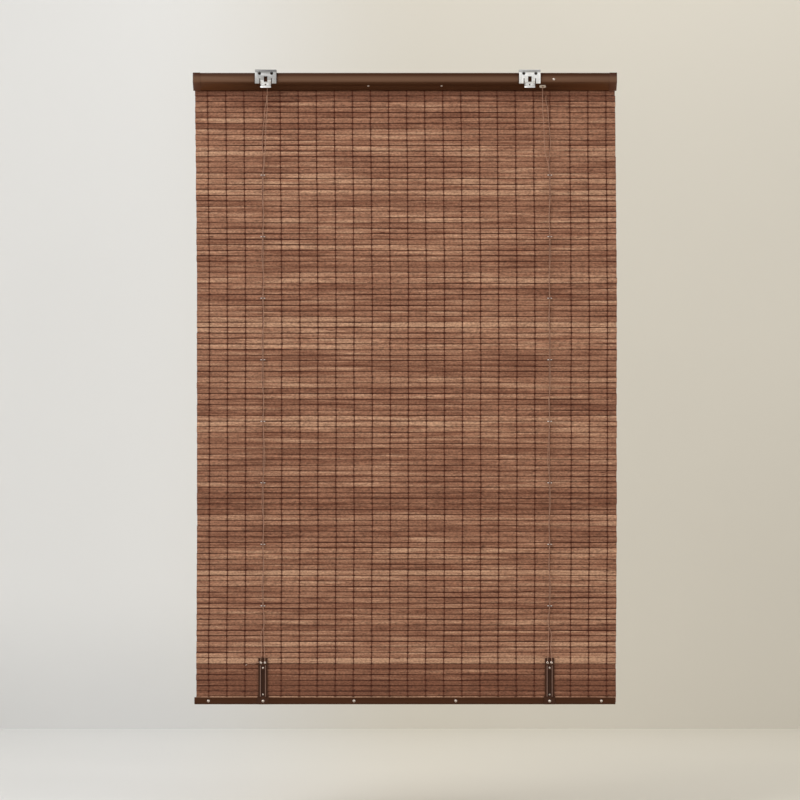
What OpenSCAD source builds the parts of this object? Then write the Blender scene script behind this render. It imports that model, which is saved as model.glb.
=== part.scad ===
// Cordless bamboo roman shade, fully lowered. Millimetres, +Z up.
// X = 0 is the middle of the shade, Y = 0 the wall, Z = 0 the headrail's top. The room is at +Y.

/* [Headrail] */
// Width over the two end caps
rail_w = 914; // [780:1:1200]
// Depth from the rear wall to the front wall
rail_d = 34; // [33:0.5:42]
// Height of the headrail
rail_h = 36; // [35:0.5:44]
// Height of the upright rear wall, above the crease
rear_wall_h = 19.5; // [18:0.5:21]
// Width of the level floor behind the front wall
floor_w = 6; // [4:0.5:8]
// Sheet thickness
rail_t = 1; // [0.6:0.1:1.2]
// Step of the recessed band along the rear wall's top
hem_step = 1.5; // [0.5:0.1:2]
// Height of the recessed band
hem_h = 4.2; // [2:0.1:5]
// Width of each in-turned lip
lip_w = 5; // [3:0.5:6]
// Drop of each lip's edge
lip_drop = 3; // [1.5:0.1:3.5]
// Wall of the end caps
cap_t = 2; // [1:0.1:4]
// Length of the end caps' collars
cap_collar = 14; // [8:0.5:20]
// Gap between the wall and the headrail's rear wall
wall_gap = 6; // [5:0.1:10]

/* [Brackets] */
// Middle of the left bracket, from the headrail's left end
bracket_left_in = 157; // [120:1:240]
// Middle of the right bracket, from the headrail's right end
bracket_right_in = 188; // [120:1:240]
// Width of a bracket
bracket_w = 46; // [40:0.5:60]
// Sheet thickness of a bracket
bracket_t = 1.2; // [0.8:0.1:1.6]
// Height of the top plate above the headrail
bracket_rise = 7; // [5:0.1:10]
// Reach of the two legs below the headrail's top
leg_reach = 23.2; // [20:0.1:26]
// Width of a leg
leg_w = 9.6; // [7:0.1:11]
// Width of the release tongue
tongue_w = 23; // [14:0.5:23]
// Sheet thickness of the tongue
tongue_t = 0.8; // [0.5:0.1:1]
// Radius of the two screw holes
screw_hole_r = 2.4; // [1.8:0.1:3]
// Spacing of the two screw holes
screw_spacing = 26; // [22:0.5:30]
// Height of the screw holes, from the headrail's top
screw_hole_z = -1.5; // [-3:0.1:1]

/* [Mat] */
// Distance from the headrail's ends to the slats' ends
mat_inset = 3; // [1:0.5:10]
// Number of slats, those behind the headrail and in the bottom rail among them
slat_count = 114; // [60:1:120]
// Slats that stay flat below the leveller heads, the one in the bottom rail among them
flat_slats = 8; // [7:1:10]
// Distance from slat to slat
slat_pitch = 11.92; // [11:0.01:14]
// Open gap between two slats
slat_gap = 0.6; // [0.3:0.05:1.2]
// Thickness of a slat
slat_t = 2.2; // [1.6:0.1:3]
// Thickness of the mat in the gaps
web_t = 0.7; // [0.4:0.05:1.2]
// Bevel along a slat's edges
slat_bevel = 0.8; // [0.3:0.05:1.5]
// Closed margin at each side of the mat
mat_margin = 12; // [6:0.5:18]
// Gap between the headrail's front and the mat, filled by the fixing tape
tape_t = 0.9; // [0.8:0.05:1.6]
// Depth of the gentle waves between the ring levels
wave_depth = 1.2; // [0:0.1:2]
// How far the flat slats stand towards the wall
crease_depth = 3; // [0:0.1:4]
// Number of warp threads
thread_count = 23; // [9:1:31]
// Width of a warp thread
thread_w = 1.6; // [0.8:0.1:2.4]
// Thickness of a warp thread
thread_t = 0.5; // [0.3:0.05:0.6]
// Margin outside the first and last warp threads
thread_margin = 21; // [14:0.5:40]

/* [Lift lines] */
// Left lift line, from the slats' left ends
lift_left_in = 147; // [130:1:160]
// Right lift line, from the slats' right ends
lift_right_in = 141; // [130:1:160]
// Number of ring levels
ring_levels = 8; // [8:1:8]
// Height of the first ring level
ring_first_z = -219; // [-260:1:-150]
// Distance from ring level to ring level
ring_pitch = 133; // [60:1:135]
// Outer radius of a ring
ring_r = 5; // [4:0.1:6]
// Wire radius of a ring
ring_wire_r = 0.65; // [0.4:0.05:0.9]
// Diameter of the cords
cord_d = 1.2; // [0.8:0.1:1.6]

/* [Lift unit] */
// Middle of each spool cradle, from the headrail's ends
cradle_in = 145; // [130:1:150]
// Length of a spool's drum
spool_len = 42; // [30:1:56]
// Radius of a spool's drum
spool_r = 8; // [6:0.1:8.5]
// Radius of a spool's flanges
flange_r = 10.2; // [9:0.1:10.4]
// Radius of the journals
journal_r = 4.5; // [4.3:0.1:5.5]
// Corner radius of the hexagonal shaft
shaft_r = 3; // [2.4:0.1:3.2]
// Distance from the headrail's ends to the shaft's ends
shaft_in = 105; // [85:1:110]
// Depth of the shaft's axis below the headrail's top
shaft_drop = 15; // [14.5:0.1:15.5]
// Distance of the shaft's axis from the headrail's rear wall
shaft_back = 17; // [17:0.1:18]
// Half length of the spring motor
motor_half = 92; // [88:1:120]
// Half length of the spring chamber
chamber_half = 68; // [40:1:70]
// Radius of the spring chamber
chamber_r = 10; // [9:0.1:10]
// Half distance of the two motor screws
motor_screw_x = 79; // [76:1:81]

/* [Bottom rail] */
// Height of the bottom rail
bar_h = 15; // [13:0.5:20]
// Sheet thickness of the bottom rail
bar_t = 1; // [0.6:0.1:1.4]
// Thickness of the weight bar
weight_t = 3.2; // [2:0.1:6]
// Distance from the slats' ends to the outer rivets
rivet_outer_in = 29; // [18:1:60]
// Half distance of the inner rivets
rivet_inner_x = 110; // [60:1:180]
// Shank radius of the rivets
rivet_r = 1.6; // [1.2:0.1:2]
// Head radius of the rivets
rivet_head_r = 3.2; // [2.6:0.1:4]

/* [Levellers] */
// Width of a leveller
lev_w = 20; // [19:0.5:23]
// Height of a leveller's sides above the slats
lev_side_h = 3.4; // [3:0.1:3.8]
// Height of a leveller's ribs and head above the slats
lev_rib_h = 5.4; // [4.6:0.1:6]
// Width of the slot between the ribs
lev_slot_w = 8.6; // [7:0.1:9.4]
// Height of a leveller's head
lev_head_h = 15; // [13:0.5:18]
// Width of the foot over the bottom rail
foot_w = 24; // [20:0.5:30]
// Thickness of the foot
foot_t = 2; // [1.2:0.1:3]
// Travel of the shuttle
shuttle_travel = 42; // [20:1:44]

/* [Fits] */
// Radial clearance of a running fit
run_fit = 0.05; // [0.02:0.01:0.1]
// Clearance of a part dropped into another
drop_fit = 0.3; // [0.1:0.05:0.5]
// Clearance between parts that lie together
lay_fit = 0.1; // [0.05:0.05:0.2]

/* [Hidden] */

// Headrail places
rear_y = wall_gap;
front_y = wall_gap + rail_d;
facet_end_y = front_y - floor_w;
facet_run = facet_end_y - rear_y;
facet_drop = rail_h - rear_wall_h;
facet_tilt = atan2(facet_drop, facet_run);
axis_y = rear_y + shaft_back;
axis_z = -shaft_drop;
shell_half = rail_w / 2 - cap_t;
bracket_left_x = bracket_left_in - rail_w / 2;
bracket_right_x = rail_w / 2 - bracket_right_in;
cradle_x = rail_w / 2 - cradle_in;
shaft_half = rail_w / 2 - shaft_in;

// Mat places
mat_w = rail_w - 2 * mat_inset;
lift_left_x = lift_left_in - mat_w / 2;
lift_right_x = mat_w / 2 - lift_right_in;
mat_y = front_y + tape_t + slat_t / 2;
up_slats = slat_count - flat_slats;
mat_low = -up_slats * slat_pitch;
flat_y = mat_y - crease_depth;
flat_rear_y = flat_y - slat_t / 2;
flat_front_y = flat_y + slat_t / 2;
slit_half = mat_w / 2 - mat_margin;

// Bottom rail places
bar_top = -(slat_count - 1) * slat_pitch - 1.5;
bar_low = bar_top - bar_h;
bar_rear_y = flat_rear_y - lay_fit - bar_t;
bar_front_y = flat_front_y + 2 * lay_fit + weight_t + bar_t;
plug_t = 1.5;
bar_half = mat_w / 2;
rivet_outer_x = mat_w / 2 - rivet_outer_in;
rivet_z = bar_top - bar_h / 2;

// Leveller places
lev_back_y = flat_rear_y - lay_fit;
lev_top = mat_low;
lev_low = bar_top + lay_fit;
lev_floor = 1.6;
eyelet_x = 4.3;
eyelet_z = lev_top - 9.5;
lev_screw_z = lev_low + 6;
shuttle_len = 11;
shuttle_top = lev_top - lev_head_h - lay_fit;

// Unit direction from a to b
function unit(a, b) = (b - a) / norm(b - a);
// Normal to the left of a direction
function left(d) = [-d[1], d[0]];
// Corner moved sideways by t between two directions
function mitred(p, a, b, t) = let (m = left(a) + left(b)) p + m * (2 * t / (m * m));
// Corner i of an open path moved to its left by t
function moved(p, i, t) =
    let (n = len(p) - 1,
         a = unit(p[i == 0 ? 0 : i - 1], p[i == 0 ? 1 : i]),
         b = unit(p[i == n ? n - 1 : i], p[i == n ? n : i + 1]))
    mitred(p[i], a, b, t);
// Closed outline of a sheet of thickness t that follows an open path
function sheet(p, t) = concat(p, [for (i = [len(p) - 1 : -1 : 0]) moved(p, i, t)]);
// Closed outline moved to its left by t all round
function inset(p, t) =
    let (n = len(p))
    [for (i = [0 : n - 1]) mitred(p[i], unit(p[(i + n - 1) % n], p[i]), unit(p[i], p[(i + 1) % n]), t)];
// Points of an arc
function arc(c, r, a0, a1, n) = [for (i = [0 : n]) c + r * [cos(a0 + (a1 - a0) * i / n), sin(a0 + (a1 - a0) * i / n)]];

// Height of the sloping facet's outer face at a distance from the wall
function facet_z(y) = -rear_wall_h - (y - rear_y) * facet_drop / facet_run;

// Extrudes an outline drawn in Y and Z along X, over a length centred on x
module along_x(x, length) {
    translate([x - length / 2, 0, 0])
        rotate([90, 0, 90])
            linear_extrude(length)
                children();
}
// Round bar along X
module round_x(x, length, r, fn = 48) {
    translate([x - length / 2, axis_y, axis_z])
        rotate([90, 0, 90])
            cylinder(h = length, r = r, $fn = fn);
}
// Round bar along Y, from y towards the room
module round_y(x, y, z, length, r, fn = 32) {
    translate([x, y, z])
        rotate([-90, 0, 0])
            cylinder(h = length, r = r, $fn = fn);
}
// Frame on the sloping facet's outer face: local Z points out of the facet
module on_facet(x, y) {
    translate([x, y, facet_z(y)])
        rotate([180 - facet_tilt, 0, 0])
            children();
}
// Low domed head on the plane Z = 0, with the given radius and height
module dome(r, h) {
    ball = (r * r + h * h) / (2 * h);
    intersection() {
        translate([0, 0, h - ball])
            sphere(r = ball, $fn = 32);
        cylinder(h = h + 1, r = r, $fn = 32);
    }
}
// Domed head that faces the wall, on the plane at y
module dome_rear(x, y, z, r, h) {
    translate([x, y, z])
        rotate([90, 0, 0])
            dome(r, h);
}

// Headrail

// Outer path of the open-topped channel, from the rear lip's edge to the front lip's edge
rail_path = [
    [rear_y + hem_step + lip_w, -lip_drop],
    [rear_y + hem_step + lip_w, 0],
    [rear_y + hem_step, 0],
    [rear_y + hem_step, -hem_h],
    [rear_y, -hem_h - hem_step * 0.7],
    [rear_y, -rear_wall_h],
    [facet_end_y, -rail_h],
    [front_y, -rail_h],
    [front_y, 0],
    [front_y - lip_w, 0],
    [front_y - lip_w, -lip_drop]];
// Closed outer outline of the headrail
rail_outline = [for (i = [2 : 8]) rail_path[i]];
// Room inside the channel, below the lips
cavity_top = -lip_drop - 3;
function cavity(fit) =
    let (p = [[rear_y, cavity_top], [rear_y, -rear_wall_h], [facet_end_y, -rail_h], [front_y, -rail_h],
              [front_y, cavity_top]])
    [for (i = [0 : 4]) moved(p, i, rail_t + fit)];

guide_y = rear_y + 14;
guide_x = cradle_x - spool_len / 2 + 6;
guide_hole_r = 2.6;
motor_screw_y = rear_y + 14;
motor_screw_r = 1.5;
// The motor screws end this far short of the journals' nearest height over the facet
motor_screw_clear = 0.6;
motor_screw_len = (axis_z - facet_z(axis_y)) * cos(facet_tilt) - journal_r - motor_screw_clear;
cradle_rivet_z = -13.6;
cradle_rivet_x = cradle_x + 9;

module headrail() {
    color([0.33, 0.22, 0.16])
        difference() {
            along_x(0, 2 * shell_half)
                polygon(sheet(rail_path, rail_t));
            for (s = [-1, 1]) {
                on_facet(s * guide_x, guide_y)
                    cylinder(h = 4, r = guide_hole_r + 0.8 + run_fit, center = true, $fn = 32);
                on_facet(s * motor_screw_x, motor_screw_y)
                    cylinder(h = 4, r = motor_screw_r + run_fit, center = true, $fn = 24);
                round_y(s * cradle_rivet_x, rear_y - 1, cradle_rivet_z, rail_t + 2, rivet_r + run_fit);
            }
        }
}

module end_cap() {
    collar_out = 0.75;
    color([0.36, 0.2, 0.16]) {
        along_x(rail_w / 2 - cap_t / 2, cap_t)
            polygon(inset(rail_outline, -collar_out));
        along_x(rail_w / 2 - cap_t - cap_collar / 2, cap_collar)
            difference() {
                polygon(inset(rail_outline, -collar_out));
                polygon(inset(rail_outline, -lay_fit / 2));
            }
    }
}
module end_cap_right() { end_cap(); }
module end_cap_left() { mirror([1, 0, 0]) end_cap(); }

// Brackets

bend_r = 3;
hook_y = front_y - lip_w - 0.6 - bracket_t;
hook_z = -lip_drop - 0.3;
bracket_path = concat(
    [[0, -leg_reach]],
    arc([bend_r, bracket_rise - bend_r], bend_r, 180, 90, 5),
    [[hook_y + bracket_t, bracket_rise],
     [hook_y + bracket_t, hook_z],
     [hook_y + bracket_t + 3.6, hook_z]]);
plate_low = -15.5;
notch_depth = leg_reach;
window_w = 7.6;
window_top = -7.8;
window_low = -19.4;
notch_top = -11.9;

module bracket(x) {
    color([0.82, 0.82, 0.8])
        difference() {
            along_x(x, bracket_w)
                polygon(sheet(bracket_path, -bracket_t));
            for (s = [-1, 1]) {
                translate([x + s * (tongue_w / 2 + bracket_w / 2 - leg_w) / 2, bracket_t / 2, notch_top - notch_depth / 2])
                    cube([bracket_w / 2 - leg_w - tongue_w / 2 + 0.01, bracket_t * 2, notch_depth], center = true);
                round_y(x + s * screw_spacing / 2, -1, screw_hole_z, bracket_t + 2, screw_hole_r);
            }
            translate([x - tongue_w / 2, -1, -leg_reach - 1])
                cube([tongue_w, bracket_t + 2, leg_reach + 1 + plate_low]);
            translate([x - window_w / 2, -1, window_low])
                cube([window_w, bracket_t + 2, window_top - window_low]);
        }
}
module bracket_left() { bracket(bracket_left_x); }
module bracket_right() { bracket(bracket_right_x); }

// Release tongue: it lies behind the plate, passes under the headrail's facet and curls back to the wall
tongue_y = bracket_t + 0.4;
tongue_tip_z = -31.8;
catch_y = rear_y + 2.4;
tongue_path = [
    [tongue_y, -3],
    [tongue_y, -18.2],
    [catch_y, facet_z(catch_y) - 2],
    [catch_y - 2.4, -27.2],
    [tongue_y + 0.9, -29.2],
    [tongue_y, tongue_tip_z]];
tongue_hole_z = tongue_tip_z + 6.6;

module bracket_tongue(x) {
    color([0.86, 0.86, 0.84])
        difference() {
            along_x(x, tongue_w)
                polygon(sheet(tongue_path, tongue_t));
            translate([x - window_w / 2, 0, window_low])
                cube([window_w, rear_y, window_top - window_low + 2]);
            round_y(x, 0, tongue_hole_z, rear_y + 6, 1.6);
        }
}
module bracket_tongue_left() { bracket_tongue(bracket_left_x); }
module bracket_tongue_right() { bracket_tongue(bracket_right_x); }

// Lift unit

module cord_guide() {
    color([0.78, 0.7, 0.62])
        on_facet(guide_x, guide_y)
            difference() {
                union() {
                    intersection() {
                        cylinder(h = 1.6, r = 7, $fn = 48);
                        translate([-7, -4.4, 0])
                            cube([14, 8.8, 1.6]);
                    }
                    translate([0, 0, -rail_t - 1.4])
                        cylinder(h = rail_t + 1.5, r = guide_hole_r + 0.8, $fn = 32);
                }
                cylinder(h = 12, r = guide_hole_r, center = true, $fn = 32);
            }
}
module cord_guide_right() { cord_guide(); }
module cord_guide_left() { mirror([1, 0, 0]) cord_guide(); }

cradle_wall = 3;
cradle_half = spool_len / 2 + 4 + cradle_wall;
cradle_back_y = rear_y + rail_t + drop_fit;
module spool_cradle() {
    color([0.85, 0.84, 0.8])
        difference() {
            union() {
                for (s = [-1, 1])
                    along_x(cradle_x + s * (cradle_half - cradle_wall / 2), cradle_wall)
                        polygon(cavity(drop_fit));
                translate([cradle_x - cradle_half, cradle_back_y, cradle_rivet_z - 4])
                    cube([2 * cradle_half, 2, cavity_top - cradle_rivet_z + 4]);
                translate([cradle_x - cradle_half, front_y - rail_t - drop_fit - 2, -rail_h + rail_t + drop_fit])
                    cube([2 * cradle_half, 2, rail_h - rail_t - drop_fit + cavity_top]);
            }
            round_x(cradle_x, 2 * cradle_half + 2, journal_r + run_fit);
            round_y(cradle_rivet_x, rear_y, cradle_rivet_z, 6, rivet_r + run_fit);
        }
}
module spool_cradle_right() { spool_cradle(); }
module spool_cradle_left() { mirror([1, 0, 0]) spool_cradle(); }

module cradle_rivets() {
    color([0.7, 0.6, 0.5])
        for (s = [-1, 1]) {
            dome_rear(s * cradle_rivet_x, rear_y, cradle_rivet_z, 2.6, 1);
            round_y(s * cradle_rivet_x, rear_y, cradle_rivet_z, cradle_back_y + 2 - rear_y, rivet_r);
            round_y(s * cradle_rivet_x, cradle_back_y + 2, cradle_rivet_z, 0.8, 2.4);
        }
}

shaft_fit = 0.08;
module lift_shaft() {
    color([0.7, 0.7, 0.72])
        round_x(0, 2 * shaft_half, shaft_r, 6);
}
module spool() {
    color([0.88, 0.87, 0.84])
        difference() {
            union() {
                round_x(cradle_x, spool_len, spool_r);
                for (s = [-1, 1])
                    round_x(cradle_x + s * (spool_len / 2 + 1), 2, flange_r);
                round_x(cradle_x, 2 * cradle_half + 2, journal_r);
            }
            round_x(cradle_x, 2 * cradle_half + 4, shaft_r + shaft_fit, 6);
        }
}
module spool_right() { spool(); }
module spool_left() { mirror([1, 0, 0]) spool(); }

module motor_case() {
    color([0.3, 0.3, 0.32])
        difference() {
            along_x(0, 2 * motor_half)
                polygon(cavity(drop_fit));
            round_x(0, 2 * chamber_half, chamber_r);
            translate([-chamber_half, axis_y - chamber_r, axis_z])
                cube([2 * chamber_half, 2 * chamber_r, shaft_drop]);
            round_x(0, 2 * motor_half + 2, journal_r + run_fit);
            for (s = [-1, 1])
                on_facet(s * motor_screw_x, motor_screw_y)
                    translate([0, 0, -motor_screw_len - drop_fit])
                        cylinder(h = motor_screw_len + 1, r = motor_screw_r + run_fit, $fn = 24);
        }
}
module motor_cover() {
    color([0.36, 0.36, 0.38])
        translate([-motor_half, rear_y + hem_step + rail_t + drop_fit, cavity_top])
            cube([2 * motor_half, rail_d - hem_step - 2 * rail_t - 2 * drop_fit, 1.8]);
}
module motor_screws() {
    color([0.75, 0.72, 0.66])
        for (s = [-1, 1])
            on_facet(s * motor_screw_x, motor_screw_y)
                difference() {
                    union() {
                        dome(2.6, 1.4);
                        translate([0, 0, -motor_screw_len])
                            cylinder(h = motor_screw_len + 0.2, r = motor_screw_r, $fn = 24);
                    }
                    for (a = [0, 90])
                        rotate([0, 0, a])
                            translate([-1.4, -0.25, 0.7])
                                cube([2.8, 0.5, 2]);
                }
}
drum_r = 5.4;
module drive_drum() {
    color([0.8, 0.8, 0.82])
        difference() {
            union() {
                round_x(0, 2 * chamber_half - 4, drum_r);
                round_x(0, 2 * motor_half + 4, journal_r);
            }
            round_x(0, 2 * motor_half + 6, shaft_r + shaft_fit, 6);
        }
}
spring_r = min(chamber_r, cavity_top - axis_z) - drop_fit;
module power_spring() {
    color([0.55, 0.57, 0.6])
        difference() {
            round_x(0, 2 * chamber_half - 10, spring_r);
            round_x(0, 2 * chamber_half, drum_r + drop_fit);
        }
}

// Mat

// Middle of the mat above the flat slats, as heights and distances from the plane of the headrail's front
bow_steps = concat(
    [[0, 0], [-rail_h - 12, 0]],
    [for (k = [0 : ring_levels - 1]) each
        [[ring_first_z - k * ring_pitch + ring_pitch / 2, wave_depth],
         [ring_first_z - k * ring_pitch, -wave_depth]]],
    [[mat_low + 38, 0.2], [mat_low, -crease_depth]]);
function bow(z) = z <= mat_low ? flat_y : mat_y + lookup(z, bow_steps);

// Outline of slats first to last (less one) joined by the web, in Y and Z, for one side (-1 rear, 1 front)
function slat_side(first, last, side) =
    [for (i = [first : last - 1]) each
        let (zt = -i * slat_pitch - slat_gap / 2,
             zb = -(i + 1) * slat_pitch + slat_gap / 2)
        [[bow(zt) + side * web_t / 2, zt],
         [bow(zt) + side * slat_t / 2, zt - slat_bevel],
         [bow(zb) + side * slat_t / 2, zb + slat_bevel],
         [bow(zb) + side * web_t / 2, zb]]];
function turned(p) = [for (i = [len(p) - 1 : -1 : 0]) p[i]];

module slats(first, last) {
    difference() {
        along_x(0, mat_w)
            polygon(concat(slat_side(first, last, -1), turned(slat_side(first, last, 1))));
        for (i = [first + 1 : last - 1])
            translate([-slit_half, bow(-i * slat_pitch) - slat_t, -i * slat_pitch - slat_gap / 2])
                cube([2 * slit_half, 2 * slat_t, slat_gap]);
    }
}
module slat_mat() {
    color([0.62, 0.46, 0.37])
        slats(0, up_slats);
}
module bottom_slats() {
    color([0.5, 0.34, 0.27])
        difference() {
            slats(up_slats, slat_count);
            for (x = rivet_xs)
                round_y(x, flat_y - slat_t, rivet_z, 2 * slat_t, rivet_r + run_fit);
            for (x = [lift_left_x, lift_right_x])
                round_y(x, flat_y - slat_t, lev_screw_z, 2 * slat_t, lev_screw_r + run_fit);
        }
}

thread_lift = 0.3;
thread_run = (mat_w - 2 * thread_margin) / (thread_count - 1);
// Places of the warp threads: the threads nearest to the lift lines run along them
function thread_x(n) =
    let (x = -mat_w / 2 + thread_margin + n * thread_run)
    abs(x - lift_left_x) < thread_run / 2 ? lift_left_x :
    abs(x - lift_right_x) < thread_run / 2 ? lift_right_x : x;
thread_lie = slat_t / 2 + thread_lift;
// One thread's line on one side of the mat
function thread_line(zs, side) =
    concat([for (z = zs) [bow(z) + side * thread_lie, z]],
           [for (z = turned(zs)) [bow(z) + side * (thread_lie + thread_t), z]]);
up_thread_zs = concat([-rail_h - 1], [for (p = bow_steps) if (p[0] < -rail_h - 2 && p[0] > mat_low) p[0]], [mat_low + 0.1]);
module warp_threads() {
    color([0.27, 0.14, 0.1])
        for (n = [0 : thread_count - 1], side = [-1, 1])
            along_x(thread_x(n), thread_w)
                polygon(thread_line(up_thread_zs, side));
}
module bottom_threads() {
    color([0.27, 0.14, 0.1])
        for (n = [0 : thread_count - 1], side = [-1, 1])
            if (side == 1 || (thread_x(n) != lift_left_x && thread_x(n) != lift_right_x))
                along_x(thread_x(n), thread_w)
                    polygon(thread_line([mat_low - 0.2, bar_top + 0.2], side));
}
tape_top = -4;
tape_h = rail_h - 16;
module fixing_tape() {
    color([0.2, 0.18, 0.17])
        translate([-shell_half + cap_collar + 4, front_y, tape_top - tape_h])
            cube([2 * (shell_half - cap_collar - 4), tape_t - 0.05, tape_h]);
}

// Rings

ring_y = front_y + tape_t - wave_depth - thread_lift - thread_t - 0.3 - ring_r;
function level_z(k) = ring_first_z - k * ring_pitch;
module ring_level(k) {
    color([0.9, 0.85, 0.78])
        for (x = [lift_left_x, lift_right_x])
            translate([x, ring_y, level_z(k - 1)])
                rotate_extrude($fn = 40)
                    translate([ring_r - ring_wire_r, 0])
                        circle(r = ring_wire_r, $fn = 16);
}
module ring_level_1() { ring_level(1); }
module ring_level_2() { ring_level(2); }
module ring_level_3() { ring_level(3); }
module ring_level_4() { ring_level(4); }
module ring_level_5() { ring_level(5); }
module ring_level_6() { ring_level(6); }
module ring_level_7() { ring_level(7); }
module ring_level_8() { ring_level(8); }

// Cords: routes as [distance outwards, y, z]

// Distance from the wall of the lift cord and of the ring cord where they pass through the rings
lift_cord_y = ring_y - 0.2;
ring_cord_y = ring_y + 2.4;
last_level = ring_levels - 1;
// Height at a share of the way from the headrail's underside down to the first rings
function above_rings(share) = -rail_h + share * (level_z(0) + rail_h);
// Height at a share of the way from the eyelets up to the last rings
function above_eyelets(share) = eyelet_z + share * (level_z(last_level) - eyelet_z);
// The lift cord's way from the spool through the guide, measured outwards from the guide
lift_cord_drop = [
    [0, axis_y - 7.95, axis_z - 3.65],
    [0, axis_y - 7.1, axis_z - 5.9],
    [0, axis_y - 5.3, axis_z - 7.7],
    [0, guide_y, facet_z(guide_y) + 3.45],
    [0, guide_y + 0.4, facet_z(guide_y) - 2.8],
    [0, guide_y + 1.6, -rail_h],
    [0.3, 24, above_rings(0.23)],
    [3, 27, above_rings(0.4)],
    [4, 29.5, above_rings(0.62)],
    [5, 31, above_rings(0.72)]];
// Its run down through the rings, measured outwards from the lift line
lift_cord_run = concat(
    [[-3, lift_cord_y - 0.4, above_rings(0.88)]],
    [for (k = [0 : last_level - 1]) each
        [[-0.8, lift_cord_y, level_z(k)],
         [-1.3, lift_cord_y, level_z(k) - ring_pitch / 2]]],
    [[-0.8, lift_cord_y - 0.2, level_z(last_level)],
     [-1.6, 32, above_eyelets(0.51)],
     [-3.4, 30.2, above_eyelets(0.19)],
     [-eyelet_x, 29.6, eyelet_z + 7],
     [-eyelet_x, 29.8, eyelet_z + 1.5],
     [-eyelet_x, 30.4, eyelet_z + 0.2],
     [-eyelet_x, 31.2, eyelet_z],
     [-eyelet_x, 33.6, eyelet_z]]);
// How far the ring cord wanders outwards between two levels
ring_cord_wander = [[1.8, -1.8], [2.4, -2], [-2.4, 2], [2.6, -2.2], [-3, -4.4], [2.2, -2], [-2.2, 2.4]];
// The ring cord, measured outwards from the lift line
ring_cord_run = concat(
    [[-8, 38.6, -rail_h - 11],
     [-8.4, 38, -rail_h - 22],
     [-5, 37.4, above_rings(0.2)],
     [-2, 36.6, above_rings(0.35)],
     [1.4, 36.2, above_rings(0.62)],
     [-1.6, ring_cord_y, above_rings(0.84)]],
    [for (k = [0 : last_level - 1]) each
        [[0.8, ring_cord_y, level_z(k)],
         [ring_cord_wander[k][0], ring_cord_y, level_z(k) - 0.33 * ring_pitch],
         [ring_cord_wander[k][1], ring_cord_y, level_z(k) - 0.66 * ring_pitch]]],
    [[0.8, ring_cord_y, level_z(last_level)],
     [-5, ring_cord_y, above_eyelets(0.71)],
     [4.5, 34.6, above_eyelets(0.5)],
     [2, 32.4, above_eyelets(0.27)],
     [eyelet_x - 0.1, 29.8, above_eyelets(0.09)],
     [eyelet_x, 29.8, eyelet_z + 1.5],
     [eyelet_x, 30.4, eyelet_z + 0.2],
     [eyelet_x, 31.2, eyelet_z],
     [eyelet_x, 33.6, eyelet_z]]);
// The loose end beside the left leveller, measured outwards from the lift line
tail_y = flat_rear_y - thread_lift - thread_t - cord_d / 2 - 0.1;
cord_tail_run = [
    [7.4, 31.6, eyelet_z + 0.4],
    [9.4, 31.4, eyelet_z + 0.9],
    [11.4, 32.2, eyelet_z + 1],
    [13, 34, eyelet_z + 0.4],
    [14.6, 35.8, eyelet_z - 0.8],
    [17, tail_y, eyelet_z - 2],
    [19.6, tail_y, eyelet_z - 3],
    [22.4, tail_y, eyelet_z - 3.1],
    [25.4, tail_y, eyelet_z - 2.3],
    [28.6, tail_y, eyelet_z - 1.9],
    [31.6, tail_y, eyelet_z - 2.7],
    [35.4, tail_y, eyelet_z - 4.3]];
// Tube along points p, round with the given diameter and 8 sides
module tube(p, d) {
    n = len(p);
    sides = 8;
    function along(i) = unit(p[max(i - 1, 0)], p[min(i + 1, n - 1)]);
    rings = [for (i = [0 : n - 1])
        let (t = along(i), u = unit([0, 0, 0], cross(t, [0.02, 1, 0.01])), v = cross(t, u))
        [for (s = [0 : sides - 1]) p[i] + d / 2 * (cos(360 * s / sides) * u + sin(360 * s / sides) * v)]];
    points = [for (r = rings) each r];
    walls = [for (i = [0 : n - 2], s = [0 : sides - 1])
        let (a = i * sides + s, b = i * sides + (s + 1) % sides)
        each [[a, b, b + sides], [a, b + sides, a + sides]]];
    polyhedron(points, concat([[for (s = [sides - 1 : -1 : 0]) s]], walls,
                              [[for (s = [0 : sides - 1]) (n - 1) * sides + s]]));
}
// Route measured outwards from x, on the side of x
function outwards(x, route) = [for (p = route) [x + sign(x) * p[0], p[1], p[2]]];
module lift_cord(x) {
    color([0.72, 0.6, 0.5])
        tube(concat(outwards(sign(x) * guide_x, lift_cord_drop), outwards(x, lift_cord_run)), cord_d);
}
module ring_cord(x) {
    color([0.74, 0.62, 0.52])
        tube(outwards(x, ring_cord_run), cord_d);
}
module lift_cord_right() { lift_cord(lift_right_x); }
module lift_cord_left() { lift_cord(lift_left_x); }
module ring_cord_right() { ring_cord(lift_right_x); }
module ring_cord_left() { ring_cord(lift_left_x); }
module cord_tail() {
    color([0.74, 0.62, 0.52])
        tube(outwards(lift_left_x, cord_tail_run), cord_d);
}

// Bottom rail

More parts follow.
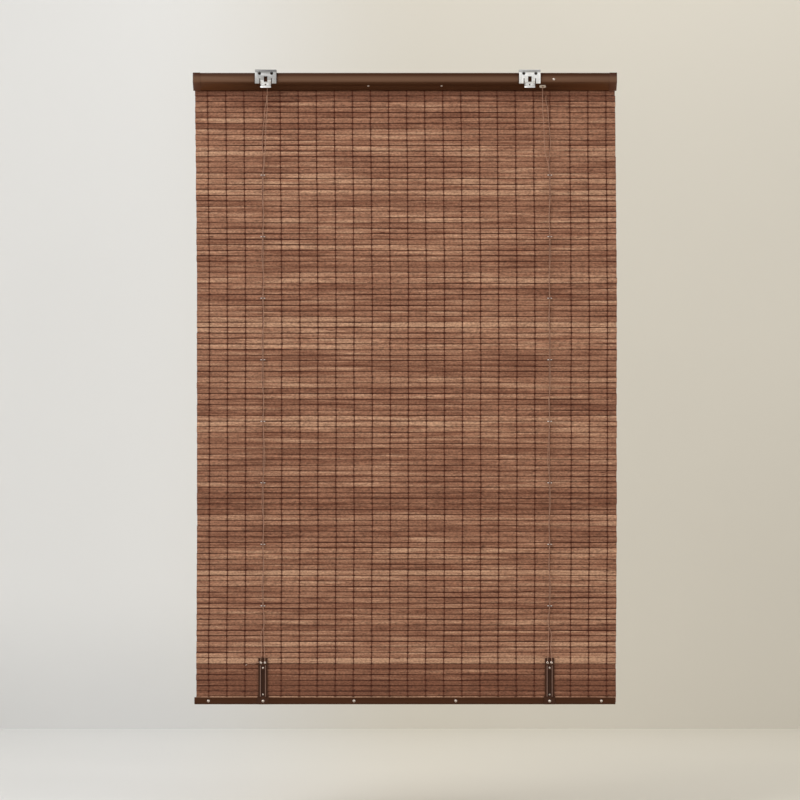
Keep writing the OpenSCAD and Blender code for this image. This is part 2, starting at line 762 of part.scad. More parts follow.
rivet_xs = [-rivet_outer_x, lift_left_x, -rivet_inner_x, rivet_inner_x, lift_right_x, rivet_outer_x];
bar_path = [
    [bar_rear_y, bar_top],
    [bar_rear_y, bar_low + 1.2],
    [bar_rear_y + 1.2, bar_low],
    [bar_front_y - 1.2, bar_low],
    [bar_front_y, bar_low + 1.2],
    [bar_front_y, bar_top]];
module bottom_rail() {
    color([0.27, 0.17, 0.12])
        difference() {
            along_x(0, 2 * bar_half)
                polygon(sheet(bar_path, bar_t));
            for (x = rivet_xs)
                round_y(x, bar_rear_y - 1, rivet_z, bar_front_y - bar_rear_y + 2, rivet_r + run_fit);
        }
}
module rail_plug() {
    color([0.25, 0.15, 0.11]) {
        along_x(bar_half + plug_t / 2, plug_t)
            polygon(bar_path);
        translate([bar_half - 5, bar_rear_y + bar_t + 1, bar_low + bar_t + lay_fit])
            cube([5.2, bar_front_y - bar_rear_y - 2 * bar_t - 2, 2.2]);
    }
}
module rail_plug_right() { rail_plug(); }
module rail_plug_left() { mirror([1, 0, 0]) rail_plug(); }
weight_half = bar_half - 8;
module weight_bar() {
    color([0.4, 0.4, 0.42])
        difference() {
            translate([-weight_half, flat_front_y + lay_fit, bar_low + bar_t + 1])
                cube([2 * weight_half, weight_t, bar_h - bar_t - 2.2]);
            for (x = rivet_xs)
                round_y(x, flat_y, rivet_z, 10, rivet_r + run_fit);
        }
}
// Rivet through the bottom rail, with its domed head at y facing the wall
module rivet(x, y) {
    dome_rear(x, y, rivet_z, rivet_head_r, 1.7);
    round_y(x, y, rivet_z, bar_front_y - y, rivet_r);
    round_y(x, bar_front_y, rivet_z, 0.7, rivet_head_r - 0.4);
}
module rail_rivets() {
    color([0.85, 0.78, 0.72])
        for (x = [-rivet_outer_x, -rivet_inner_x, rivet_inner_x, rivet_outer_x])
            rivet(x, bar_rear_y);
}

// Levellers: local X across, local Y from the slats towards the wall

foot_y = lev_back_y - (bar_rear_y - foot_t);
lev_screw_r = 1.3;
module lev_frame(x) {
    translate([x, lev_back_y, 0])
        mirror([0, 1, 0])
            children();
}
function lev_section() =
    let (w = lev_w / 2, s = lev_slot_w / 2, under = s + 0.9)
    [[-w, 0], [w, 0], [w, lev_side_h], [s + 3.2, lev_side_h], [s + 2.4, lev_rib_h - 0.6], [s + 0.9, lev_rib_h],
     [s, lev_rib_h - 0.6], [s, lev_floor + 1.1], [under, lev_floor + 1.1], [under, lev_floor],
     [-under, lev_floor], [-under, lev_floor + 1.1], [-s, lev_floor + 1.1], [-s, lev_rib_h - 0.6],
     [-s - 0.9, lev_rib_h], [-s - 2.4, lev_rib_h - 0.6], [-s - 3.2, lev_side_h], [-w, lev_side_h]];
module leveller(x) {
    color([0.3, 0.2, 0.15])
        difference() {
            union() {
                lev_frame(x)
                    translate([0, 0, lev_low])
                        linear_extrude(lev_top - lev_head_h - lev_low)
                            polygon(lev_section());
                lev_frame(x)
                    translate([-lev_w / 2, 0, lev_top - lev_head_h])
                        cube([lev_w, lev_rib_h, lev_head_h]);
                lev_frame(x)
                    translate([-lev_w / 2, 0, lev_low])
                        cube([lev_w, foot_y, 3]);
                lev_frame(x)
                    translate([-foot_w / 2, foot_y - foot_t, bar_low])
                        cube([foot_w, foot_t, lev_low - bar_low + 3]);
            }
            for (s = [-1, 1])
                round_y(x + s * eyelet_x, lev_back_y - lev_rib_h - 1, eyelet_z, 4.6, 1.7);
            round_y(x, bar_rear_y - foot_t - 1, rivet_z, foot_t + 2, rivet_r + run_fit);
            round_y(x, lev_back_y - lev_rib_h - 1, lev_screw_z, lev_rib_h + 2, lev_screw_r + run_fit);
        }
}
module leveller_left() { leveller(lift_left_x); }
module leveller_right() { leveller(lift_right_x); }
module leveller_rivets() {
    color([0.88, 0.82, 0.76])
        for (x = [lift_left_x, lift_right_x])
            rivet(x, bar_rear_y - foot_t);
}
module leveller_screws() {
    color([0.75, 0.68, 0.62])
        for (x = [lift_left_x, lift_right_x]) {
            dome_rear(x, lev_back_y - lev_floor, lev_screw_z, 2.2, 1);
            round_y(x, lev_back_y - lev_floor, lev_screw_z, lev_floor + slat_t - 0.2, lev_screw_r);
        }
}
module leveller_eyelets() {
    color([0.9, 0.86, 0.8])
        for (x = [lift_left_x, lift_right_x], s = [-1, 1])
            difference() {
                union() {
                    dome_rear(x + s * eyelet_x, lev_back_y - lev_rib_h, eyelet_z, 2.5, 0.9);
                    round_y(x + s * eyelet_x, lev_back_y - lev_rib_h, eyelet_z, 3.4, 1.65);
                }
                round_y(x + s * eyelet_x, lev_back_y - lev_rib_h - 2, eyelet_z, 8, 1.1);
            }
}
module leveller_shuttle(x) {
    s = lev_slot_w / 2 - lay_fit;
    under = lev_slot_w / 2 + 0.9 - lay_fit;
    color([0.22, 0.14, 0.11])
        lev_frame(x)
            translate([0, 0, shuttle_top - shuttle_len])
                difference() {
                    linear_extrude(shuttle_len)
                        polygon([[-under, lev_floor + lay_fit], [under, lev_floor + lay_fit], [under, lev_floor + 1], [s, lev_floor + 1],
                                 [s, lev_rib_h - 1], [-s, lev_rib_h - 1], [-s, lev_floor + 1], [-under, lev_floor + 1]]);
                    translate([0, 0, shuttle_len / 2])
                        rotate([-90, 0, 0])
                            cylinder(h = 12, r = 1.5, $fn = 24);
                }
}
module leveller_shuttle_left() { leveller_shuttle(lift_left_x); }
module leveller_shuttle_right() { leveller_shuttle(lift_right_x); }
module clamp_screw(x) {
    color([0.85, 0.76, 0.7]) {
        dome_rear(x, lev_back_y - lev_rib_h + 1, shuttle_top - shuttle_len / 2, 2.2, 1);
        round_y(x, lev_back_y - lev_rib_h + 1, shuttle_top - shuttle_len / 2, lev_rib_h - 1 - lev_floor - lay_fit, 1.45);
    }
}
module clamp_screw_left() { clamp_screw(lift_left_x); }
module clamp_screw_right() { clamp_screw(lift_right_x); }

headrail();
end_cap_left();
end_cap_right();
bracket_left();
bracket_right();
bracket_tongue_left();
bracket_tongue_right();
cord_guide_left();
cord_guide_right();
spool_cradle_left();
spool_cradle_right();
cradle_rivets();
motor_case();
motor_cover();
motor_screws();
power_spring();
fixing_tape();
slat_mat();
warp_threads();
lift_cord_left();
lift_cord_right();
ring_cord_left();
ring_cord_right();
lift_shaft();
spool_left();
spool_right();
drive_drum();
ring_level_1();
ring_level_2();
ring_level_3();
ring_level_4();
ring_level_5();
ring_level_6();
ring_level_7();
ring_level_8();
bottom_slats();
bottom_threads();
bottom_rail();
rail_plug_left();
rail_plug_right();
weight_bar();
rail_rivets();
leveller_left();
leveller_right();
leveller_rivets();
leveller_screws();
leveller_eyelets();
leveller_shuttle_left();
leveller_shuttle_right();
clamp_screw_left();
clamp_screw_right();
cord_tail();
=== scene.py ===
"""Dresses the parts of a woven bamboo roman shade, in metres. The wall is at -Y and the room at +Y."""

import math
import random

import bpy
from bpy.props import FloatProperty, FloatVectorProperty, IntProperty, PointerProperty
from mathutils import Matrix, Vector


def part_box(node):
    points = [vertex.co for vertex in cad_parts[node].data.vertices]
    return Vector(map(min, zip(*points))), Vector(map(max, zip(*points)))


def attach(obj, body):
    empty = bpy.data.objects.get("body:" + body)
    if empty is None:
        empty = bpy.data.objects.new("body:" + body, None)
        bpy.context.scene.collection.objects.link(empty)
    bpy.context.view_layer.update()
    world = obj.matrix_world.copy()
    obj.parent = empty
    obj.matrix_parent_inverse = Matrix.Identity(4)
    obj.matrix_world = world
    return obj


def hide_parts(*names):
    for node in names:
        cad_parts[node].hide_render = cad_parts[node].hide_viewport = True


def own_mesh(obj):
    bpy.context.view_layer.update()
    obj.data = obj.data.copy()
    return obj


bl_info = {
    "name": "Bamboo Roman Shade",
    "version": (1, 0, 0),
    "blender": (4, 5, 0),
    "location": "3D View > Sidebar > Shade",
    "description": "Slats, threads, cords and metalwork of a woven bamboo roman shade",
    "category": "Object",
}

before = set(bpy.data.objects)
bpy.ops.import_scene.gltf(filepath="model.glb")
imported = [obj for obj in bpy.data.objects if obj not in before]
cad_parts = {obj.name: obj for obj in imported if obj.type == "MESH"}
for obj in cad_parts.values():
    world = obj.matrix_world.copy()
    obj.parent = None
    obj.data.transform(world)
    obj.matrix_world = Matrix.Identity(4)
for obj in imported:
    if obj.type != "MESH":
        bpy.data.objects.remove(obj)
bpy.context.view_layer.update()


def middle(node):
    """X, Y and Z of the middle of a CAD node's box."""
    return [(low + high) / 2 for low, high in zip(*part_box(node))]


MAT_LOW, MAT_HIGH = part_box("slat_mat")
FLAT_DEPTH = middle("bottom_slats")[1]
SIDES = ("left", "right")
LIFT_LINES = {side: middle(f"leveller_{side}")[0] for side in SIDES}
BRACKETS = {side: middle(f"bracket_{side}")[0] for side in SIDES}

# The ring levels: their number, the height of the first and the distance from level to level
RING_LEVELS = 8
FIRST_RING = -0.219
RING_STEP = 0.133


# Properties


def colour(name, description, default):
    """A colour setting, given as a scene-linear colour."""
    return FloatVectorProperty(
        name=name, description=description, default=default, size=3, min=0, max=1, subtype="COLOR")


def length(name, description, default):
    """A size setting in metres."""
    return FloatProperty(
        name=name, description=description, default=default, min=0, precision=5, unit="LENGTH",
        subtype="DISTANCE")


def count(name, description, default, least=0):
    """A setting for a number of pieces."""
    return IntProperty(name=name, description=description, default=default, min=least)


class ShadeSizes(bpy.types.PropertyGroup):
    """Sizes of what is woven, tied and finished on the shade."""

    slat_count: count("Slats", "Number of slats from the headrail's top to the bottom rail", 114, 20)
    hidden_slats: count("Hidden slats", "Slats that lie against the headrail's front", 3)
    flat_slats: count("Flat slats", "Slats beside and in the bottom rail", 8, 1)
    slat_pitch: length("Slat pitch", "Distance from slat to slat", 0.01192)
    slat_depth: length("Slat depth", "Thickness of a slat", 0.0022)
    slat_wander: length("Slat wander", "How far a slat's edges leave their even places", 0.00042)
    thread_count: count("Threads", "Number of warp threads", 23, 2)
    left_margin: length("Left margin", "From the mat's left edge to the first thread", 0.0268)
    right_margin: length("Right margin", "From the last thread to the mat's right edge", 0.0205)
    mat_drift: length("Mat drift", "How far the mat's middle hangs to the right of its ends", 0.0042)
    strand: length("Strand", "Thickness of one strand of a warp thread", 0.00092)
    strand_spread: length("Strand spread", "How far a strand lies from the thread's middle", 0.00030)
    knot_spread: length("Knot spread", "How far it lies from there beside a gap, where they cross", 0.00085)
    wave: length("Wave", "Depth of the mat's gentle waves between the ring levels", 0.0012)
    rail_edge: length("Rail edge", "Rounding of the rails' edges", 0.0004)
    plate_edge: length("Plate edge", "Rounding of the edges of pressed steel and thin mouldings", 0.00025)
    moulded_edge: length("Moulded edge", "Rounding of moulded pieces", 0.0004)


class ShadeColours(bpy.types.PropertyGroup):
    """Colours of the shade's finishes and of the stage."""

    slat_light: colour("Light slat", "The palest slats", (0.430, 0.242, 0.148))
    slat_mid: colour("Slat", "Most of the bamboo", (0.284, 0.132, 0.077))
    slat_dark: colour("Dark grain", "Dark streaks of the bamboo", (0.130, 0.046, 0.024))
    # The gap colour stands for stain and painted shade in the gaps; the flecks use it too
    slat_edge: colour("Slat edge", "The stain that stands in the gaps", (0.052, 0.012, 0.005))
    thread: colour("Thread", "Warp threads", (0.122, 0.036, 0.020))
    cord: colour("Cord", "Lift and ring cords", (0.36, 0.205, 0.140))
    enamel: colour("Enamel", "Headrail and bottom rail", (0.054, 0.0185, 0.0064))
    # The colour of the painted sheen band on the headrail's upright wall
    painted_sheen: colour("Painted sheen", "The paler satin band of the headrail's upright wall", (0.134, 0.069, 0.039))
    cap: colour("End cap", "End caps and plugs", (0.060, 0.0225, 0.0115))
    moulding: colour("Leveller", "Levellers and their shuttles", (0.050, 0.0190, 0.0090))
    # The colour of the painted highlight along the levellers' ribs
    rib_highlight: colour("Rib highlight", "The levellers' ribs", (0.235, 0.140, 0.108))
    fray: colour("Fray", "Opened yarns at the cord's cut end", (0.80, 0.72, 0.64))
    pale_plastic: colour("Pale plastic", "Guides, cradles and spools", (0.62, 0.53, 0.43))
    dark_plastic: colour("Dark plastic", "Spring motor's case", (0.022, 0.022, 0.024))
    plating: colour("Plating", "Brackets", (0.86, 0.85, 0.83))
    nickel: colour("Nickel", "Rivets, eyelets and screws", (0.60, 0.51, 0.44))
    ring: colour("Ring", "Rings", (0.97, 0.93, 0.89))
    steel: colour("Steel", "Shaft, spring and weight bar", (0.46, 0.47, 0.49))
    tape: colour("Tape", "Fixing tape", (0.030, 0.024, 0.020))
    backdrop: colour("Backdrop", "Floor and backdrop on the lit side", (0.81, 0.805, 0.785))
    backdrop_far: colour("Far backdrop", "Floor and backdrop away from the light", (0.685, 0.648, 0.567))


# Shader sums


class Val:
    """An output socket that takes part in plain arithmetic."""

    def __init__(self, tree, socket):
        self.tree = tree
        self.socket = socket

    def sum_of(self, operation, first, second=0.0):
        node = self.tree.nodes.new("ShaderNodeMath")
        node.operation = operation
        connect(self.tree, node.inputs[0], first)
        connect(self.tree, node.inputs[1], second)
        return Val(self.tree, node.outputs[0])

    def __add__(self, other):
        return self.sum_of("ADD", self, other)

    def __radd__(self, other):
        return self.sum_of("ADD", other, self)

    def __sub__(self, other):
        return self.sum_of("SUBTRACT", self, other)

    def __rsub__(self, other):
        return self.sum_of("SUBTRACT", other, self)

    def __mul__(self, other):
        return self.sum_of("MULTIPLY", self, other)

    def __truediv__(self, other):
        return self.sum_of("DIVIDE", self, other)

    def __pow__(self, other):
        return self.sum_of("POWER", self, other)

    def __abs__(self):
        return self.sum_of("ABSOLUTE", self)


def connect(tree, target, value):
    """Links a Val to a socket, or writes a number or colour on it."""
    if isinstance(value, Val):
        tree.links.new(value.socket, target)
    elif hasattr(value, "__len__") and len(value) == 3 and len(target.default_value) == 4:
        target.default_value = (*value, 1)
    else:
        target.default_value = value


class Finish:
    """One procedural material, with its Principled shader."""

    def __init__(self, name, **constants):
        self.material = bpy.data.materials.new(name)
        self.material.use_nodes = True
        self.tree = self.material.node_tree
        self.tree.nodes.clear()
        self.shader = self.tree.nodes.new("ShaderNodeBsdfPrincipled")
        self.surface = self.tree.nodes.new("ShaderNodeOutputMaterial").inputs[0]
        self.tree.links.new(self.shader.outputs[0], self.surface)
        for socket, value in constants.items():
            self.set(socket.replace("_", " "), value)

    def set(self, socket, value):
        connect(self.tree, self.shader.inputs[socket], value)

    def node(self, kind, settings=None, output=0, **values):
        """Adds a node with its settings and sockets, by name or s and a number, and returns one output."""
        made = self.tree.nodes.new("ShaderNode" + kind)
        for setting, value in (settings or {}).items():
            setattr(made, setting, value)
        for socket, value in values.items():
            numbered = socket[0] == "s" and socket[1:].isdigit()
            place = int(socket[1:]) if numbered else socket.replace("_", " ")
            connect(self.tree, made.inputs[place], value)
        return Val(self.tree, made.outputs[output])

    def at(self):
        """Where the surface lies, in metres from the object's origin."""
        return self.node("TexCoord", output="Object")

    def attribute(self, name):
        return self.node("Attribute", {"attribute_name": name}, "Vector")

    def part(self, vector, axis):
        return self.node("SeparateXYZ", output=axis, Vector=vector)

    def stretch(self, vector, x, y, z):
        return self.node("VectorMath", {"operation": "MULTIPLY"}, s0=vector, s1=(x, y, z))

    def noise(self, vector, scale, detail=2.0, roughness=0.5):
        values = {"Vector": vector, "Scale": scale, "Detail": detail, "Roughness": roughness}
        return self.node("TexNoise", output="Fac", **values)

    def cells(self, vector, scale, output="Distance"):
        return self.node("TexVoronoi", output=output, Vector=vector, Scale=scale)

    def between(self, value, low, high):
        """0 before low, 1 past high and smooth between; low may be the larger one."""
        ramp = {"interpolation_type": "SMOOTHSTEP"}
        return self.node("MapRange", ramp, s0=value, s1=low, s2=high, s3=0.0, s4=1.0)

    def mix(self, factor, first, second):
        return self.node("Mix", {"data_type": "RGBA"}, 2, s0=factor, s6=first, s7=second)

    def shade(self, base, value):
        """A colour made lighter or darker by a value around 1."""
        return self.node("VectorMath", {"operation": "SCALE"}, s0=base, Scale=value)

    def bump(self, height, distance, strength=1.0):
        raised = self.node("Bump", output="Normal", Height=height, Distance=distance, Strength=strength)
        self.set("Normal", raised)


# Finishes


def bamboo():
    """Stained bamboo: long grain, dark streaks, flecks, stain and painted shade in the gaps, each slat
    painted lighter above and darker below, and a painted shadow beside each thread.
    """
    look = bpy.context.scene.shade_colours
    f = Finish("bamboo_with_stain", Specular_IOR_Level=0.15)
    lie = f.attribute("grain")
    facts = f.attribute("facts")
    tone, across, near = (f.part(facts, axis) for axis in "XYZ")
    fibre = f.noise(f.stretch(lie, 24, 1, 1500), 1.0, 3.0, 0.6)
    streak = f.noise(f.stretch(lie, 14, 1, 340), 1.0, 4.0, 0.66)
    patch = f.noise(f.stretch(lie, 6, 1, 110), 1.0, 3.0, 0.65)
    fleck = f.noise(f.stretch(lie, 32, 1.7, 290), 1.0, 2.0, 0.5)
    speck = f.noise(f.stretch(lie, 190, 2.3, 400), 1.0, 1.5, 0.6)
    rim = f.noise(f.stretch(lie, 5, 3.1, 0), 1.0, 2.0, 0.5)
    mood = tone + (patch - 0.5) * 2.2
    skin = f.mix(f.between(mood + (streak - 0.5) * 1.3, 0.30, 1.05), look.slat_mid, look.slat_light)
    skin = f.mix(f.between(streak * 1.5 - mood, 0.24, 0.85) * 0.75, skin, look.slat_dark)
    skin = f.mix(f.between(fleck, 0.68, 0.76) * 0.75, skin, look.slat_edge)
    # Stain and painted shade in the gaps between slats, painted deeper beside each thread
    groove = abs(across) + near * 0.12 + (streak - 0.5) * 0.12 + (rim - 0.5) * 0.55
    skin = f.mix(f.between(groove, 0.76, 0.93), skin, look.slat_edge)
    # across paints each slat lighter above and darker below, as light falling from above
    light = fibre * 0.45 + speck * 1.7 + streak * 0.5 + across * 0.06 - 0.32
    # A painted shadow beside each thread
    light = light * (1.0 - f.between(near, 0.1, 1.0) * 0.14)
    f.set("Base Color", f.shade(skin, light))
    f.set("Roughness", 0.50 + fibre * 0.25)
    f.bump(fibre * 0.6 + streak * 0.4, 0.0004, 0.5)
    return f.material


def twisted(name, base, pitch, gaps=None):
    """Twisted yarn; a warp thread gets painted shade in the gaps between slats, which are one slat's pitch
    apart.
    """
    f = Finish(name, Roughness=0.9, Specular_IOR_Level=0.08)
    where = f.at()
    bands = {"wave_type": "BANDS", "bands_direction": "DIAGONAL"}
    ply = f.node("TexWave", bands, "Fac", Vector=where, Scale=1.0 / pitch, Distortion=1.5, Detail=1.0)
    fuzz = f.noise(where, 1900.0, 3.0, 0.6)
    light = 0.62 + ply * 0.42 + fuzz * 0.34
    if gaps:
        # Painted shade where the thread dips into each gap
        share = f.node("Math", {"operation": "FRACT"}, s0=f.part(where, "Z") / gaps)
        light = light * (1.0 - f.between(abs(share - 0.5), 0.30, 0.44) * 0.5)
    f.set("Base Color", f.shade(base, light))
    f.bump(ply * 0.7 + fuzz * 0.3, 0.0002, 0.6)
    return f.material


def with_painted_sheen(f, where, base):
    """The base colour with a painted sheen band on the headrail's upright wall, painted shade where the
    brackets cover it, and its paler ends.
    """
    along, height = f.part(where, "X"), f.part(where, "Z")
    # Painted sheen: a paler band on the upright wall, as light falling on it
    band = f.between(height, -0.0035, -0.0118) * f.between(height, -0.0262, -0.0128)
    # Painted shade on the wall behind each bracket
    for bracket in BRACKETS.values():
        band = band * f.between(abs(along - bracket), 0.021, 0.027)
    on_headrail = f.between(height, -0.6, -0.5)
    ends = f.between(abs(along), 0.27, 0.46) * on_headrail * f.between(height, -0.003, -0.016)
    return f.mix(band * 0.9, f.shade(base, 1.0 + ends * 0.75), bpy.context.scene.shade_colours.painted_sheen)


def enamelled(name, base):
    """Satin enamel on rolled steel: orange peel, drawn lines along the length and a few worn places."""
    f = Finish(name, Specular_IOR_Level=0.10, Coat_Weight=0.02, Coat_Roughness=0.3)
    where = f.at()
    drawn = f.noise(f.stretch(where, 3, 900, 900), 1.0, 2.0, 0.5)
    peel = f.noise(where, 750.0, 2.0, 0.5)
    cloud = f.noise(f.stretch(where, 5, 20, 20), 1.0, 3.0, 0.5)
    worn = f.between(f.noise(f.stretch(where, 60, 300, 300), 1.0, 3.0, 0.6), 0.70, 0.80)
    skin = f.mix(worn * 0.25, with_painted_sheen(f, where, base), tuple(min(1, part * 2.2) for part in base))
    f.set("Base Color", f.shade(skin, 0.74 + cloud * 0.42 + drawn * 0.12))
    f.set("Roughness", 0.38 + drawn * 0.12 + cloud * 0.10)
    f.bump(peel * 0.6 + drawn * 0.4, 0.00006, 0.7)
    return f.material


def on_ribs(f, where):
    """1 on the levellers' two long ribs, which face the wall, and 0 on the rest of them."""
    below_crease = MAT_LOW.z - f.part(where, "Z")
    along_rib = f.between(below_crease, 0.0152, 0.0165) * f.between(below_crease, 0.084, 0.082)
    return along_rib * f.between(f.part(where, "Y"), 0.0330, 0.0326)


def moulded(name, base, painted_sheen=False, ribbed=False):
    """Moulded plastic with a fine texture and flow marks; a leveller has a painted highlight on its ribs and
    painted shade in its slot.
    """
    f = Finish(name, Specular_IOR_Level=0.13)
    where = f.at()
    pits = f.noise(where, 2400.0, 2.0, 0.6)
    flow = f.noise(f.stretch(where, 40, 90, 25), 1.0, 3.0, 0.5)
    light = 0.86 + flow * 0.2 + pits * 0.08
    skin = with_painted_sheen(f, where, base) if painted_sheen else base
    if ribbed:
        # Painted highlight along the levellers' ribs
        skin = f.mix(on_ribs(f, where) * 0.9, skin, bpy.context.scene.shade_colours.rib_highlight)
        # Painted shade, deeper in the levellers' slot
        light = light * (1.0 - f.between(f.part(where, "Y"), 0.0347, 0.0358) * 0.18)
    f.set("Base Color", f.shade(skin, light))
    f.set("Roughness", 0.34 + pits * 0.16 + flow * 0.08)
    f.bump(pits, 0.00006, 0.8)
    return f.material


def painted_cord_shade(f, where, skin):
    """A ring's colour, with painted shade where its cord runs through."""
    along = f.part(where, "X")
    stain = bpy.context.scene.shade_colours.slat_dark
    for line in LIFT_LINES.values():
        # Painted shade on the ring where its cord runs, in the bamboo's dark streak colour
        skin = f.mix(f.between(abs(along - line), 0.0026, 0.0018) * 0.9, skin, stain)
    return skin


def painted_plate_light(f, where, light):
    """A bracket plate's brightness with painted light: the left one painted darker than the right, and
    painted shade on the top bends and round the screw holes.
    """
    hole_out, hole_height = 0.013, -0.0015
    along, height = f.part(where, "X"), f.part(where, "Z")
    # Painted reflection: the left bracket darker than the right
    light = light * (1.0 - f.between(along, 0.1, -0.1) * 0.42)
    # Painted shade on the top bends
    light = light * (1.0 - f.between(height, -0.0005, 0.0025) * 0.5)
    up = height - hole_height
    # Painted shade round the screw holes
    for bracket in BRACKETS.values():
        across = abs(abs(along - bracket) - hole_out)
        away = (across * across + up * up) ** 0.5
        light = light * (1.0 - f.between(away, 0.0038, 0.0029) * 0.85)
    return light


def plated(name, base, rough, spangle=0.0, dulling=0.30, shaded_at_cord=False, filmed=False):
    """Plated or plain steel: faint crystals, rolling lines and dulled patches."""
    f = Finish(name, Metallic=0.5 if shaded_at_cord else 1.0)
    where = f.at()
    rolled = f.noise(f.stretch(where, 120, 120, 2200), 1.0, 2.0, 0.5)
    dull = f.noise(where, 160.0, 3.0, 0.55)
    crystal = f.part(f.cells(where, 420.0, "Color"), "X")
    light = 0.95 - dulling / 2 + dull * dulling + (crystal - 0.5) * spangle
    # Rings get painted shade where their cord runs through
    skin = painted_cord_shade(f, where, base) if shaded_at_cord else base
    # Bracket plates get painted light and shade
    f.set("Base Color", f.shade(skin, painted_plate_light(f, where, light) if filmed else light))
    f.set("Roughness", rough + dull * 0.22 + rolled * 0.06)
    f.bump(rolled * 0.4 + dull * 0.6, 0.00005, 0.6)
    return f.material


def hook_tape(base):
    """Woven tape with rows of tiny loops."""
    f = Finish("hook_tape", Roughness=0.9, Sheen_Weight=0.4)
    loops = f.cells(f.at(), 900.0)
    f.set("Base Color", f.shade(base, 0.6 + loops * 1.1))
    f.bump(loops, 0.0003, 0.9)
    return f.material


MADE = {}


def finishes():
    """All materials by name, made on the first call."""
    if not MADE:
        look = bpy.context.scene.shade_colours
        MADE.update(
            bamboo=bamboo(),
            thread=twisted("warp_yarn", tuple(look.thread), 0.0024, bpy.context.scene.shade_sizes.slat_pitch),
            cord=twisted("beige_cord", tuple(look.cord), 0.0020),
            enamel=enamelled("brown_enamel", tuple(look.enamel)),
            cap=moulded("brown_cap", tuple(look.cap), painted_sheen=True),
            moulding=moulded("brown_moulding", tuple(look.moulding), ribbed=True),
            fray=twisted("frayed_yarn", tuple(look.fray), 0.0020),
            pale=moulded("pale_moulding", tuple(look.pale_plastic)),
            dark=moulded("dark_moulding", tuple(look.dark_plastic)),
            plating=plated("zinc_plating", tuple(look.plating), 0.36, 0.08, 0.14),
            filmed=plated("filmed_plating", tuple(look.plating), 0.36, 0.10, 0.26, filmed=True),
            nickel=plated("nickel_plating", tuple(look.nickel), 0.16),
            ring=plated("ring_nickel", tuple(look.ring), 0.30, dulling=0.10, shaded_at_cord=True),
            steel=plated("plain_steel", tuple(look.steel), 0.30, 0.05),
            tape=hook_tape(tuple(look.tape)),
        )
    return MADE


# Modelling helpers


# Edges sharper than the first angle are rounded; faces that meet at less than the others are shaded as one
EDGE_ANGLE = math.radians(28)
SMOOTH_ANGLE = math.radians(35)
ROUND_ANGLE = math.radians(50)


def pick(*objects):
    """Object mode, with just these selected and the first one active."""
    if bpy.context.object and bpy.context.object.mode != "OBJECT":
        bpy.ops.object.mode_set(mode="OBJECT")
    bpy.ops.object.select_all(action="DESELECT")
    for item in objects:
        item.select_set(True)
    if objects:
        bpy.context.view_layer.objects.active = objects[0]
        return objects[0]


def named(name):
    """Names the primitive that was just added, with its place in its mesh."""
    made = bpy.context.active_object
    made.name = made.data.name = name
    bpy.ops.object.transform_apply(location=True, rotation=True, scale=True)
    return made


def copied(piece, name):
    """A copy with its own mesh."""
    made = piece.copy()
    made.data = piece.data.copy()
    made.name = made.data.name = name
    bpy.context.scene.collection.objects.link(made)
    return made


def joined(pieces, name):
    """All pieces as one."""
    whole = pick(*pieces)
    if len(pieces) > 1:
        bpy.ops.object.join()
    whole.name = whole.data.name = name
    return whole


def repeated(piece, moves, name):
    """Copies of a piece, each moved its own way, as one; the piece itself goes."""
    copies = []
    for move in moves:
        copies.append(copied(piece, name))
        copies[-1].data.transform(move)
    bpy.data.objects.remove(piece)
    return joined(copies, name)


def cut_across(piece, places, normal):
    """Cuts a piece right through at each place, so that it has corners there to move."""
    pick(piece)
    bpy.ops.object.mode_set(mode="EDIT")
    for place in places:
        bpy.ops.mesh.select_all(action="SELECT")
        bpy.ops.mesh.bisect(plane_co=place, plane_no=normal)
    bpy.ops.object.mode_set(mode="OBJECT")


def bake_modifiers(piece):
    """Applies every modifier of the piece."""
    pick(piece)
    for modifier in list(piece.modifiers):
        bpy.ops.object.modifier_apply(modifier=modifier.name)


def from_cad(node, name):
    """A merged copy of a CAD node, with its flat faces whole again."""
    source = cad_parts[node]
    piece = bpy.data.objects.new(name, source.data.copy())
    bpy.context.scene.collection.objects.link(piece)
    piece.data.materials.clear()
    pick(piece)
    bpy.ops.object.mode_set(mode="EDIT")
    bpy.ops.mesh.select_all(action="SELECT")
    bpy.ops.mesh.customdata_custom_splitnormals_clear()
    bpy.ops.mesh.remove_doubles(threshold=0.000002)
    bpy.ops.mesh.dissolve_limited(angle_limit=math.radians(1.0))
    bpy.ops.object.mode_set(mode="OBJECT")
    return piece


def round_edges(piece, width, segments):
    """Rounds the sharp edges, as rolling, pressing or moulding leaves them."""
    bevel = piece.modifiers.new("edges", "BEVEL")
    bevel.width = width
    bevel.segments = segments
    bevel.limit_method = "ANGLE"
    bevel.angle_limit = EDGE_ANGLE
    bevel.use_clamp_overlap = True
    bevel.harden_normals = False
    bake_modifiers(piece)
    pick(piece)
    bpy.ops.object.shade_smooth_by_angle(angle=SMOOTH_ANGLE)


def dress(piece, body, finish, slot, *nodes):
    """Gives a piece its material and body, and hides the CAD nodes that it stands for; the slot is not used.
    """
    piece.data.materials.clear()
    piece.data.materials.append(finishes()[finish])
    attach(piece, body)
    if nodes:
        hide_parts(*nodes)


def finish_node(node, ending, edge, body, finish, slot, segments=2):
    """Puts a copy with rounded edges and a finish in a CAD node's place, named with an ending."""
    piece = from_cad(node, f"{node}_{ending}")
    round_edges(piece, edge, segments)
    dress(piece, body, finish, slot, node)


def keep_nodes(finish, *names):
    """Carried-over CAD nodes get a finish."""
    for name in names:
        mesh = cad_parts[name].data
        mesh.materials.clear()
        mesh.materials.append(finishes()[finish])


def squash_with_lift(piece):
    """Gives a hanging piece a mesh of its own."""
    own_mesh(piece)


def either_way(chance, most):
    """A random amount, at most this much either way."""
    return chance.uniform(-1, 1) * most


# Mat


